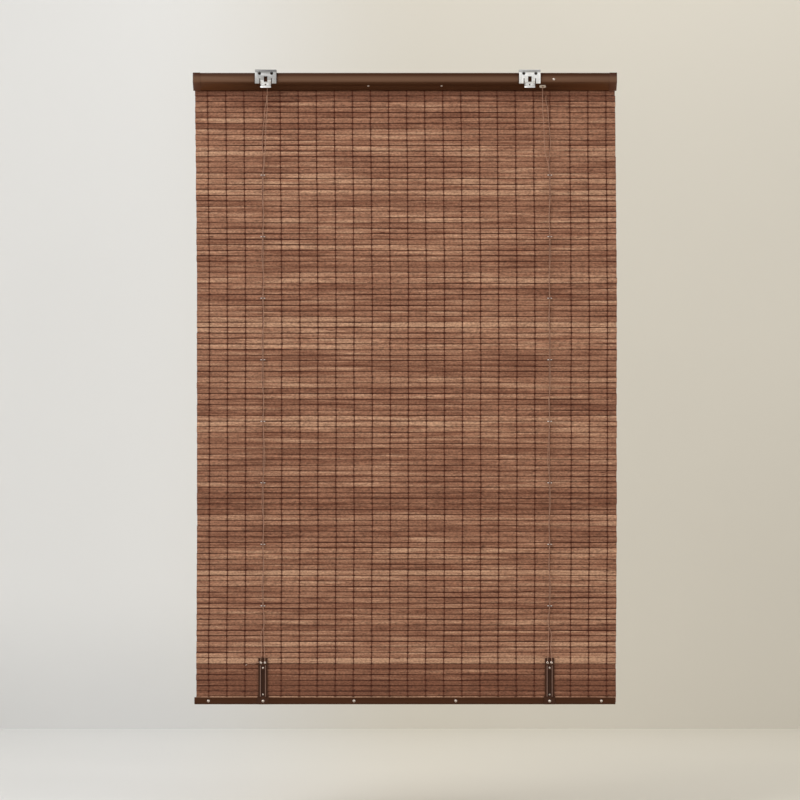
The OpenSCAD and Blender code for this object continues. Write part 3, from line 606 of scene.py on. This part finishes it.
# The hanging mat: its depth, where it leaves the headrail, and how far above the crease it leans back
MAT_DEPTH = 0.042
HEADRAIL_FOOT = -0.048
LEAN_HEIGHT = 0.038

# A slat: how square it is in depth and height, how far from a thread it is pinched, and what is left there
SQUARENESS = (0.62, 0.55)
PINCH_REACH = 0.0042
PINCHED = (0.84, 0.995)

# How far the first flat slat reaches up behind the crease, and how much more of the last one is seen
CREASE_TUCK = 0.0006
LAST_SLAT_RISE = 0.0012

# How much darker the first slats below the headrail are: a painted shadow of the headrail
HEADRAIL_SHADOW = (0.75, 0.42, 0.20, 0.20, 0.20)

# Each way in which a thread strays: how far, how fast down the rows and how differently from the next
STRAYS = ((0.00035, 2.4, 977), (0.00045, 0.31, 311))


def thread_places():
    """X of each warp thread; those nearest to the lift lines run along them."""
    sizes = bpy.context.scene.shade_sizes
    first, last = MAT_LOW.x + sizes.left_margin, MAT_HIGH.x - sizes.right_margin
    run = (last - first) / (sizes.thread_count - 1)
    places = [first + n * run for n in range(sizes.thread_count)]
    return [next((line for line in LIFT_LINES.values() if abs(x - line) < run / 2), x) for x in places]


def drift(z):
    """How far to the right the mat hangs at a height: most from 0.45 m to 1 m down, and less at both ends."""
    full, easing, eased = 0.45, 1.0, 1.3
    share = min(1.0, -z / full) if -z < easing else 1.0 - 0.4 * min(1.0, (-z - easing) / (eased - easing))
    return bpy.context.scene.shade_sizes.mat_drift * share


def hang(z):
    """Y of the mat's middle at a height: gentle waves between the ring levels, and flat below the crease."""
    wave = bpy.context.scene.shade_sizes.wave
    crease = MAT_LOW.z
    if z <= crease:
        return FLAT_DEPTH
    steps = [(0.0, 0.0), (HEADRAIL_FOOT, 0.0)]
    for level in range(RING_LEVELS):
        ring = FIRST_RING - RING_STEP * level
        steps += [(ring + RING_STEP / 2, wave), (ring, -wave)]
    steps += [(crease + LEAN_HEIGHT, 0.0002), (crease, FLAT_DEPTH - MAT_DEPTH)]
    for (upper, start), (lower, end) in zip(steps, steps[1:]):
        if lower <= z <= upper:
            return MAT_DEPTH + start + (end - start) * (upper - z) / (upper - lower)
    return MAT_DEPTH


def squared(value, power):
    """Where a corner of a circle 1 across goes in a squarer section that is 2 across."""
    return math.copysign(abs(2 * value) ** power, value)


def slat_blank(places):
    """One slat: a bar with a rounded section, pinched a little under each thread."""
    sizes = bpy.context.scene.shade_sizes
    pick()
    bpy.ops.mesh.primitive_cylinder_add(
        vertices=12, radius=0.5, depth=1, end_fill_type="NGON", rotation=(0, math.pi / 2, 0))
    blank = named("slat_blank")
    width = MAT_HIGH.x - MAT_LOW.x
    for corner in blank.data.vertices:
        x, y, z = corner.co
        y, z = squared(y, SQUARENESS[0]), squared(z, SQUARENESS[1])
        corner.co = (x * width, y * sizes.slat_depth / 2, z * sizes.slat_pitch / 2)
    cuts = [(place + shift, 0, 0) for place in places for shift in (-PINCH_REACH, 0, PINCH_REACH)]
    cut_across(blank, cuts, (1, 0, 0))
    for corner in blank.data.vertices:
        if any(abs(corner.co.x - place) < PINCH_REACH / 20 for place in places):
            corner.co.y *= PINCHED[0]
            corner.co.z *= PINCHED[1]
    pick(blank)
    bpy.ops.object.shade_smooth_by_angle(angle=ROUND_ANGLE)
    return blank


def slat_facts(mesh, places, height, tone, seed):
    """Writes where the grain runs and how the slat looks, for its material."""
    grain = mesh.attributes.new("grain", "FLOAT_VECTOR", "POINT")
    facts = mesh.attributes.new("facts", "FLOAT_VECTOR", "POINT")
    along, looks = [], []
    for corner in mesh.vertices:
        x, y, z = corner.co
        near = max(0.0, 1 - min(abs(x - place) for place in places) / PINCH_REACH)
        along += (x, seed + y * 40, z)
        looks += (tone, 2 * z / height, near)
    grain.data.foreach_set("vector", along)
    facts.data.foreach_set("vector", looks)


def slat_tone(index, chance):
    """How pale a slat is: a free draw on slow drifts, with a painted shadow below the headrail, painted shade
    below the crease and a painted highlight on the crease slat; the last slat is paler too.
    """
    sizes = bpy.context.scene.shade_sizes
    z = -(index + 0.5) * sizes.slat_pitch
    slow = 0.06 * math.sin(z * 9.0) + 0.05 * math.sin(z * 23.0 + 1.0) + 0.13 * (z + 0.55)
    contrast = 0.55 + 0.35 * min(1, -z)
    tone = 0.44 + (chance.betavariate(2.4, 3.4) - 0.41) * contrast + slow
    below_headrail = index - sizes.hidden_slats
    below_crease = index - (sizes.slat_count - sizes.flat_slats)
    # Painted shadow of the headrail on the first slats below it
    if 0 <= below_headrail < len(HEADRAIL_SHADOW):
        return tone - HEADRAIL_SHADOW[below_headrail]
    # Painted highlight on the crease slat, where the mat bulges towards the light; the last slat is paler too
    if below_crease == 0 or index == sizes.slat_count - 1:
        return tone + 0.38
    # Painted shade on the flat slats below the crease, deepening downwards
    return tone - 0.38 - 0.0417 * below_crease if below_crease > 0 else tone


def seam_heights(chance):
    """Heights of the seams between the slats, which wander except at the mat's ends and at the crease."""
    sizes = bpy.context.scene.shade_sizes
    seams = [-index * sizes.slat_pitch for index in range(sizes.slat_count + 1)]
    seams = [seam + either_way(chance, sizes.slat_wander) for seam in seams]
    for still in (0, sizes.slat_count, sizes.slat_count - sizes.flat_slats):
        seams[still] = -still * sizes.slat_pitch
    seams[-2] += LAST_SLAT_RISE
    return seams


def woven_slat(blank, places, index, top, low, chance):
    """One slat between two seams, lying a little askew and following the mat's waves."""
    sizes = bpy.context.scene.shade_sizes
    overlap, reach = 1.02, 0.005
    skew, spread, slip = 0.0002, 0.0007, 0.0004
    slat = copied(blank, f"slat_{index}")
    tone = slat_tone(index, chance)
    slat_facts(slat.data, places, sizes.slat_pitch, tone, index * 3.7 + chance.uniform(0, 2))
    z = (top + low) / 2
    tilt = math.atan2(hang(z + reach) - hang(z - reach), 2 * reach)
    turn = Matrix.Rotation(-tilt, 4, "X") @ Matrix.Rotation(either_way(chance, skew), 4, "Y")
    height = (top - low) / sizes.slat_pitch * overlap
    stretch = Matrix.Diagonal((1 + either_way(chance, spread), 1, height, 1))
    move = Matrix.Translation((drift(z) + either_way(chance, slip), hang(z), z))
    slat.data.transform(move @ turn @ stretch)
    return slat


class SHADE_OT_slats(bpy.types.Operator):
    """Lays the bamboo slats on the headrail's front, in the hanging mat and flat by the bottom rail."""

    bl_idname = "shade.slats"
    bl_label = "Slats"

    def execute(self, context):
        sizes = context.scene.shade_sizes
        hidden, flat = sizes.hidden_slats, sizes.slat_count - sizes.flat_slats
        chance = random.Random(11)
        places = [place for place in thread_places() if place not in LIFT_LINES.values()]
        blank = slat_blank(places)
        seams = seam_heights(chance)
        made = []
        for index, (top, low) in enumerate(zip(seams, seams[1:])):
            top += CREASE_TUCK if index == flat else 0.0
            made.append(woven_slat(blank, places, index, top, low, chance))
        top = joined(made[:hidden], "slats_at_headrail")
        hanging = joined(made[hidden:flat], "slats_hanging")
        bottom = joined(made[flat:], "slats_flat")
        bpy.data.objects.remove(blank)
        dress(top, "frame", "bamboo", "bamboo", "slat_mat")
        dress(hanging, "frame", "bamboo", "bamboo", "slat_mat")
        dress(bottom, "lift_rail", "bamboo", "bamboo", "bottom_slats")
        squash_with_lift(hanging)
        return {"FINISHED"}


def stitch(side, strands):
    """One slat's length of a thread on one side: strands that lie apart on the slat and cross in the gaps."""
    sizes = bpy.context.scene.shade_sizes
    turn, widened = 0.36, 1.35
    sunk, proud = 0.10, 0.40
    pick()
    bpy.ops.mesh.primitive_cylinder_add(
        vertices=5, radius=sizes.strand / 2, depth=sizes.slat_pitch, end_fill_type="NOTHING")
    blank = named("strand_blank")
    cut_across(blank, [(0, 0, height * sizes.slat_pitch) for height in (-turn, turn)], (0, 0, 1))
    made = []
    for strand in strands:
        piece = copied(blank, "strand")
        for corner in piece.data.vertices:
            beside_gap = abs(corner.co.z / sizes.slat_pitch) > (turn + 0.5) / 2
            corner.co.x *= widened if beside_gap else 1.0
            corner.co.x += strand * (sizes.knot_spread if beside_gap else sizes.strand_spread)
            corner.co.y += side * (sizes.slat_depth / 2 + sizes.strand * (sunk if beside_gap else proud))
        made.append(piece)
    bpy.data.objects.remove(blank)
    return joined(made, "stitch")


def thread_line(side, strands, first, last):
    """The stitches of one warp thread on one side of the slats from first to last."""
    sizes = bpy.context.scene.shade_sizes
    line = stitch(side, strands)
    line.data.transform(Matrix.Translation((0, 0, -(first + 0.5) * sizes.slat_pitch)))
    rows = line.modifiers.new("rows", "ARRAY")
    rows.count = last - first
    rows.use_relative_offset = False
    rows.use_constant_offset = True
    rows.constant_offset_displace = (0, 0, -sizes.slat_pitch)
    rows.use_merge_vertices = True
    rows.merge_threshold = 0.00005
    bake_modifiers(line)
    for corner in line.data.vertices:
        corner.co.y += hang(corner.co.z)
    pick(line)
    bpy.ops.object.shade_smooth()
    return line


def threads(side, strands, first, last, name):
    """All warp threads on one side of the slats from first to last."""
    sizes = bpy.context.scene.shade_sizes
    line = thread_line(side, strands, first, last)
    made = []
    for place in thread_places():
        thread = copied(line, "thread")
        for corner in thread.data.vertices:
            row = round(corner.co.z / sizes.slat_pitch)
            strays = sum(far * math.sin(row * pace + place * shift) for far, pace, shift in STRAYS)
            corner.co.x += place + strays
            if place not in LIFT_LINES.values():
                corner.co.x += drift(corner.co.z)
        made.append(thread)
    bpy.data.objects.remove(line)
    return joined(made, name)


class SHADE_OT_threads(bpy.types.Operator):
    """Winds the warp threads round the slats, with two crossing strands towards the wall and one behind."""

    bl_idname = "shade.threads"
    bl_label = "Warp threads"

    def execute(self, context):
        sizes = context.scene.shade_sizes
        flat = sizes.slat_count - sizes.flat_slats
        for name, side, strands in (("wall", -1, (-1, 1)), ("room", 1, (0,))):
            hanging = threads(side, strands, sizes.hidden_slats, flat, f"threads_{name}_side")
            dress(hanging, "frame", "thread", "thread", "warp_threads")
            squash_with_lift(hanging)
            still = threads(side, strands, flat, sizes.slat_count - 1, f"threads_{name}_side_flat")
            dress(still, "lift_rail", "thread", "thread", "bottom_threads")
        return {"FINISHED"}


# Cords


# The loose end by the left leveller: how far out from the lift line, how deep, and how far above the eyelets
TAIL = (
    (0.0074, 0.0316, 0.0004), (0.0094, 0.0314, 0.0009), (0.0114, 0.0322, 0.0010), (0.0130, 0.0340, 0.0004),
    (0.0146, 0.0358, -0.0008), (0.0170, 0.0364, -0.0020), (0.0196, 0.0364, -0.0030),
    (0.0224, 0.0364, -0.0031), (0.0254, 0.0364, -0.0023), (0.0286, 0.0364, -0.0019),
    (0.0316, 0.0364, -0.0027), (0.0354, 0.0364, -0.0043))
CORD_WIDTH = 0.0012

# The yarns that open at the loose end: their number, their length, and their radius at the root and the tip
YARNS = 7
YARN_LENGTH = 0.0026
YARN_RADII = (0.00028, 0.00010)


def cut_off(cord, height, above):
    """Keeps the part of a hanging cord above or below a height, and closes its cut end."""
    pick(cord)
    bpy.ops.object.mode_set(mode="EDIT")
    bpy.ops.mesh.select_all(action="SELECT")
    bpy.ops.mesh.bisect(
        plane_co=(0, 0, height), plane_no=(0, 0, 1), use_fill=True, clear_inner=above, clear_outer=not above)
    bpy.ops.object.mode_set(mode="OBJECT")
    bpy.ops.object.shade_smooth_by_angle(angle=ROUND_ANGLE)
    return cord


def loose_cord(path):
    """A round cord along one smooth line through the path."""
    pick()
    bpy.ops.curve.primitive_bezier_curve_add(radius=1)
    tail = bpy.context.active_object
    tail.name = tail.data.name = "cord_tail_yarn"
    line = tail.data.splines[0]
    line.bezier_points.add(len(path) - len(line.bezier_points))
    for point, place in zip(line.bezier_points, path):
        point.co = place
        point.handle_left_type = point.handle_right_type = "AUTO"
    line.resolution_u = tail.data.render_resolution_u = 6
    tail.data.bevel_depth = CORD_WIDTH / 2
    tail.data.bevel_resolution = 4
    tail.data.use_fill_caps = True
    return tail


def frayed_end(tip, along, chance):
    """The opened yarns at a cut cord's end, each leaning its own way."""
    root, step = 0.0010, 0.9
    pick()
    bpy.ops.mesh.primitive_cone_add(
        vertices=5, radius1=YARN_RADII[0], radius2=YARN_RADII[1], depth=YARN_LENGTH, end_fill_type="NGON")
    yarn = named("yarn")
    way = along.to_track_quat("Z", "Y").to_matrix().to_4x4()
    moves = []
    for around in (index * step for index in range(YARNS)):
        lean = Matrix.Rotation(chance.uniform(0.12, 0.5), 4, Vector((math.cos(around), math.sin(around), 0)))
        moves.append(Matrix.Translation(tip) @ way @ lean @ Matrix.Translation((0, 0, root)))
    return repeated(yarn, moves, "cord_tail_fray")


class SHADE_OT_cords(bpy.types.Operator):
    """Strings the lift cords, the ring cords and the loose end beside the left leveller."""

    bl_idname = "shade.cords"
    bl_label = "Cords"

    def execute(self, context):
        for node in ("lift_cord_left", "lift_cord_right", "ring_cord_left", "ring_cord_right"):
            hanging = cut_off(from_cad(node, f"{node}_yarn"), MAT_LOW.z, above=True)
            dress(hanging, "frame", "cord", "cord", node)
            squash_with_lift(hanging)
            end = cut_off(from_cad(node, f"{node}_end"), MAT_LOW.z, above=False)
            dress(end, "lift_rail", "cord", "cord")
        eyelets = middle("leveller_eyelets")[2]
        path = [Vector((LIFT_LINES["left"] - out, y, eyelets + rise)) for out, y, rise in TAIL]
        tail = loose_cord(path)
        dress(tail, "lift_rail", "cord", "cord", "cord_tail")
        fray = frayed_end(path[-1], path[-1] - path[-2], random.Random(5))
        dress(fray, "lift_rail", "fray", "cord")
        return {"FINISHED"}


# Rings and metalwork


def plate_ring(node):
    """A ring level's two rings, a hair thicker with their plating."""
    plating = 0.0002
    ring = from_cad(node, f"{node}_plated")
    pick(ring)
    bpy.ops.object.mode_set(mode="EDIT")
    bpy.ops.mesh.select_all(action="SELECT")
    bpy.ops.transform.shrink_fatten(value=plating)
    bpy.ops.object.mode_set(mode="OBJECT")
    bpy.ops.object.shade_smooth()
    dress(ring, node, "ring", "ring_metal", node)


def tie_rings(node, name):
    """The two loops of yarn that tie each ring of a level to the mat."""
    apart, loop_radius, yarn_radius, clear = 0.0012, 0.0013, 0.00035, 0.0001
    depth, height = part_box(node)[1].y + clear, middle(node)[2]
    pick()
    bpy.ops.mesh.primitive_torus_add(
        major_radius=loop_radius, minor_radius=yarn_radius, major_segments=16, minor_segments=6,
        rotation=(0, math.pi / 2, 0))
    loop = named("loop")
    places = [line + shift for line in LIFT_LINES.values() for shift in (-apart / 2, apart / 2)]
    ties = repeated(loop, [Matrix.Translation((place, depth, height)) for place in places], name)
    bpy.ops.object.shade_smooth()
    dress(ties, node, "thread", "thread")


class SHADE_OT_rings(bpy.types.Operator):
    """Finishes the rings and ties each one to the mat with loops of yarn."""

    bl_idname = "shade.rings"
    bl_label = "Rings"

    def execute(self, context):
        for level in range(1, RING_LEVELS + 1):
            plate_ring(f"ring_level_{level}")
            tie_rings(f"ring_level_{level}", f"ring_ties_{level}")
        return {"FINISHED"}


class SHADE_OT_headrail(bpy.types.Operator):
    """Finishes the enamelled headrail, its end caps and the fixing tape."""

    bl_idname = "shade.headrail"
    bl_label = "Headrail"

    def execute(self, context):
        sizes = context.scene.shade_sizes
        paint = ("cap", "brown_plastic")
        finish_node("headrail", "enamelled", sizes.rail_edge, "frame", "enamel", "rail_paint")
        for side in SIDES:
            finish_node(f"end_cap_{side}", "moulded", sizes.moulded_edge, "frame", *paint, segments=3)
        keep_nodes("tape", "fixing_tape")
        return {"FINISHED"}


class SHADE_OT_brackets(bpy.types.Operator):
    """Finishes the plated wall brackets and their release tongues."""

    bl_idname = "shade.brackets"
    bl_label = "Brackets"

    def execute(self, context):
        edge = context.scene.shade_sizes.plate_edge
        for side in SIDES:
            finish_node(f"bracket_{side}", "plated", edge, "frame", "filmed", "plated_steel")
            finish_node(f"bracket_tongue_{side}", "plated", edge, f"tongue_{side}", "plating", "plated_steel")
        return {"FINISHED"}


class SHADE_OT_lift_unit(bpy.types.Operator):
    """Finishes the guides, cradles, spools, shaft and spring motor inside the headrail."""

    bl_idname = "shade.lift_unit"
    bl_label = "Lift unit"

    def execute(self, context):
        sizes = context.scene.shade_sizes
        thin, thick = sizes.plate_edge, sizes.moulded_edge
        for side in SIDES:
            finish_node(f"cord_guide_{side}", "moulded", thin, "frame", "pale", "pale_plastic")
            finish_node(f"spool_cradle_{side}", "moulded", thick, "frame", "pale", "pale_plastic")
            finish_node(f"spool_{side}", "moulded", thin, "lift_shaft", "pale", "pale_plastic")
        for node in ("motor_case", "motor_cover"):
            finish_node(node, "moulded", thick, "frame", "dark", "dark_plastic")
        keep_nodes("pale", "drive_drum")
        keep_nodes("steel", "lift_shaft", "power_spring")
        keep_nodes("nickel", "cradle_rivets", "motor_screws")
        return {"FINISHED"}


class SHADE_OT_bottom_rail(bpy.types.Operator):
    """Finishes the bottom rail, its plugs, weight bar and rivets."""

    bl_idname = "shade.bottom_rail"
    bl_label = "Bottom rail"

    def execute(self, context):
        sizes = context.scene.shade_sizes
        paint = ("cap", "brown_plastic")
        finish_node("bottom_rail", "enamelled", sizes.rail_edge, "lift_rail", "enamel", "rail_paint")
        for side in SIDES:
            finish_node(f"rail_plug_{side}", "moulded", sizes.moulded_edge, "lift_rail", *paint)
        keep_nodes("steel", "weight_bar")
        keep_nodes("nickel", "rail_rivets")
        return {"FINISHED"}


class SHADE_OT_levellers(bpy.types.Operator):
    """Finishes the levellers with their shuttles, eyelets, rivets and screws."""

    bl_idname = "shade.levellers"
    bl_label = "Levellers"

    def execute(self, context):
        sizes = context.scene.shade_sizes
        paint = ("moulding", "brown_plastic")
        for side in SIDES:
            finish_node(f"leveller_{side}", "moulded", sizes.moulded_edge, "lift_rail", *paint, segments=3)
            finish_node(f"leveller_shuttle_{side}", "moulded", sizes.plate_edge, f"shuttle_{side}", *paint)
            keep_nodes("nickel", f"clamp_screw_{side}")
        keep_nodes("nickel", "leveller_rivets", "leveller_screws", "leveller_eyelets")
        return {"FINISHED"}


# Stage


# The camera: its place, its tilt from straight down, and its lens in millimetres
CAMERA_PLACE = (-0.0106, -10.0, -0.6174)
CAMERA_TILT = math.radians(89.5)
LENS = 208.9

# The room: how strong its even light is, where its floor and its backdrop are, and how wide they are
SKY_STRENGTH = 0.47
FLOOR_HEIGHT = -1.62
BACKDROP_DEPTH = 2.6
STAGE_SIZE = 14

# Name, place, size and power of each lamp; all point at the shade's middle
LAMPS = (
    ("key_lamp", (-2.6, -3.4, 1.9), 2.2, 120),
    ("fill_lamp", (3.0, -3.4, 0.2), 2.6, 42),
    ("back_lamp", (0.5, 2.0, 1.6), 1.8, 35))
LAMP_TARGET = Vector((0, 0, -0.65))


def place_camera():
    """A long lens in front of the wall's side, a little above the shade's middle."""
    data = bpy.data.cameras.new("camera")
    data.sensor_width = 36
    data.lens = LENS
    data.clip_end = 100
    camera = bpy.data.objects.new("camera", data)
    camera.location = CAMERA_PLACE
    camera.rotation_euler = (CAMERA_TILT, 0, 0)
    bpy.context.scene.collection.objects.link(camera)
    bpy.context.scene.camera = camera


def lamp(name, place, size, power):
    """A soft square lamp."""
    data = bpy.data.lights.new(name, "AREA")
    data.size = size
    data.energy = power
    made = bpy.data.objects.new(name, data)
    made.location = place
    made.rotation_euler = (LAMP_TARGET - Vector(place)).to_track_quat("-Z", "Y").to_euler()
    made.visible_camera = False
    bpy.context.scene.collection.objects.link(made)


def sky():
    """A plain white world, a little brighter overhead."""
    world = bpy.data.worlds.new("studio")
    world.use_nodes = True
    tree = world.node_tree
    background = tree.nodes["Background"]
    background.inputs["Strength"].default_value = SKY_STRENGTH
    way = tree.nodes.new("ShaderNodeTexCoord")
    rise = tree.nodes.new("ShaderNodeSeparateXYZ")
    tree.links.new(way.outputs["Generated"], rise.inputs[0])
    connect(tree, background.inputs["Color"], Val(tree, rise.outputs["Z"]) * 0.45 + 1.0)
    return world


def pale_paper():
    """The floor's and backdrop's paper, with painted shade: darker and warmer away from the light and darker
    low down; clear from behind.
    """
    look = bpy.context.scene.shade_colours
    f = Finish("pale_paper", Roughness=0.9, Specular_IOR_Level=0.1)
    where = f.at()
    cloud = f.noise(where, 1.3, 2.0, 0.4)
    # Painted shade: darker and warmer away from the light, and darker low down
    far = f.between(f.part(where, "X"), -0.75, 0.1)
    low = f.between(f.part(where, "Z"), -1.2, -1.6) * (1.0 - far)
    paper = f.mix(far, tuple(look.backdrop), tuple(look.backdrop_far))
    f.set("Base Color", f.shade(paper, 0.98 + cloud * 0.06 - low * 0.12))
    behind = f.node("NewGeometry", output="Backfacing")
    front, clear = Val(f.tree, f.shader.outputs[0]), f.node("BsdfTransparent")
    connect(f.tree, f.surface, f.node("MixShader", s0=behind, s1=front, s2=clear))
    return f.material


class SHADE_OT_stage(bpy.types.Operator):
    """Sets up the camera, the soft lamps, the pale floor and the backdrop."""

    bl_idname = "shade.stage"
    bl_label = "Stage"

    def execute(self, context):
        place_camera()
        for name, place, size, power in LAMPS:
            lamp(name, place, size, power)
        context.scene.world = sky()
        paper = pale_paper()
        pick()
        bpy.ops.mesh.primitive_plane_add(size=STAGE_SIZE, location=(0, 0, FLOOR_HEIGHT))
        floor = named("floor")
        bpy.ops.mesh.primitive_plane_add(
            size=STAGE_SIZE, location=(0, BACKDROP_DEPTH, 0), rotation=(math.pi / 2, 0, 0))
        wall = named("backdrop")
        for item in (floor, wall):
            item.data.materials.append(paper)
        context.scene.view_settings.view_transform = "Standard"
        return {"FINISHED"}


OPERATORS = (
    SHADE_OT_stage, SHADE_OT_cords, SHADE_OT_slats, SHADE_OT_threads, SHADE_OT_rings, SHADE_OT_headrail,
    SHADE_OT_brackets, SHADE_OT_lift_unit, SHADE_OT_bottom_rail, SHADE_OT_levellers)


class SHADE_PT_panel(bpy.types.Panel):
    """Lists the shade's settings and its operators."""

    bl_idname = "SHADE_PT_panel"
    bl_label = "Bamboo Roman Shade"
    bl_space_type = "VIEW_3D"
    bl_region_type = "UI"
    bl_category = "Shade"

    def draw(self, context):
        for group in (context.scene.shade_sizes, context.scene.shade_colours):
            box = self.layout.box()
            for name in group.__annotations__:
                box.prop(group, name)
        for operator in OPERATORS:
            self.layout.operator(operator.bl_idname)


CLASSES = (ShadeSizes, ShadeColours, *OPERATORS, SHADE_PT_panel)


def register():
    for item in CLASSES:
        bpy.utils.register_class(item)
    bpy.types.Scene.shade_sizes = PointerProperty(type=ShadeSizes)
    bpy.types.Scene.shade_colours = PointerProperty(type=ShadeColours)


def unregister():
    del bpy.types.Scene.shade_colours
    del bpy.types.Scene.shade_sizes
    for item in reversed(CLASSES):
        bpy.utils.unregister_class(item)


def main():
    register()
    for operator in OPERATORS:
        group, action = operator.bl_idname.split(".")
        getattr(getattr(bpy.ops, group), action)()


if __name__ == "__main__":
    main()
